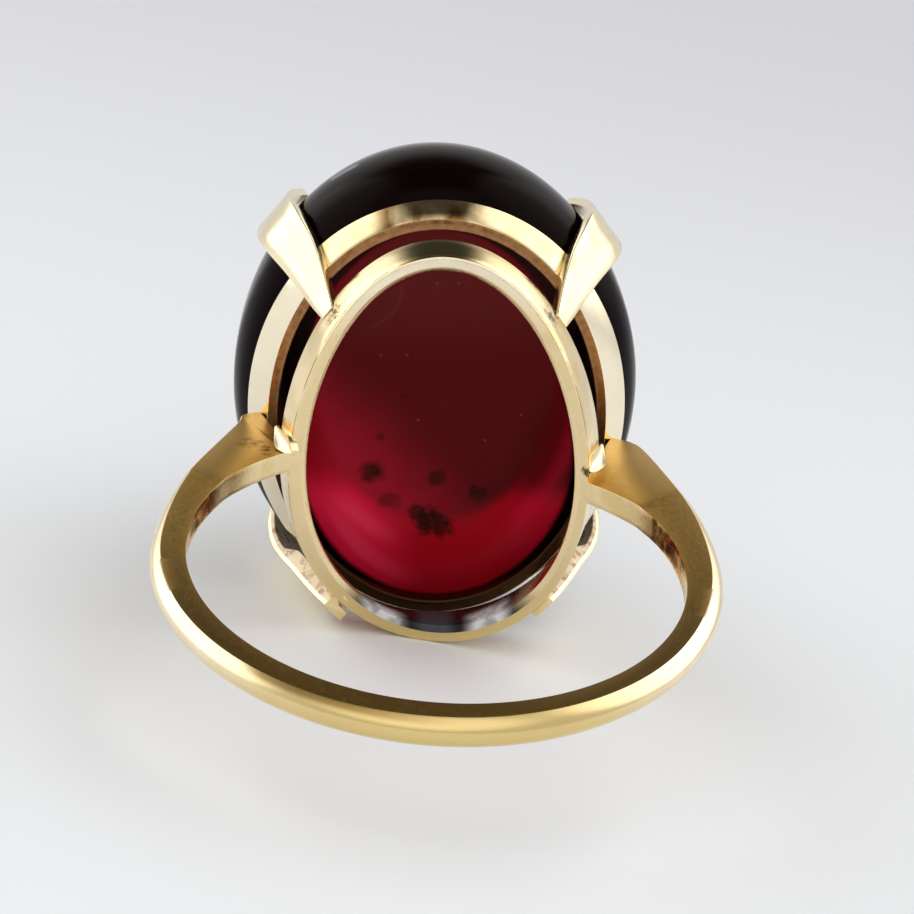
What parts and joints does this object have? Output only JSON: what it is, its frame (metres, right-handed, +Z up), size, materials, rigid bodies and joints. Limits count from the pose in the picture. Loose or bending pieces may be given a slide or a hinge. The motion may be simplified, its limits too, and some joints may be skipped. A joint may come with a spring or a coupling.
{
  "type": "cabochon ring",
  "caption": "Finger ring with a large oval cabochon in an open claw setting, lying on its side, the shank turned slightly against the head.",
  "frame": {"origin": "middle of the plan of the resting ring, on the floor", "axes": "+Z up, +Y from the shank toward the stone's dome, +X to the viewer's right when looking along +Y through the finger hole at the stone's back"},
  "size_m": [0.02, 0.0312, 0.018],
  "materials": {
    "gold": "polished yellow gold, fine wear",
    "garnet": "polished deep red garnet"
  },
  "bodies": {
    "root": {"gold_mount": "gold", "garnet_cabochon": "garnet"}
  },
  "joints": []
}
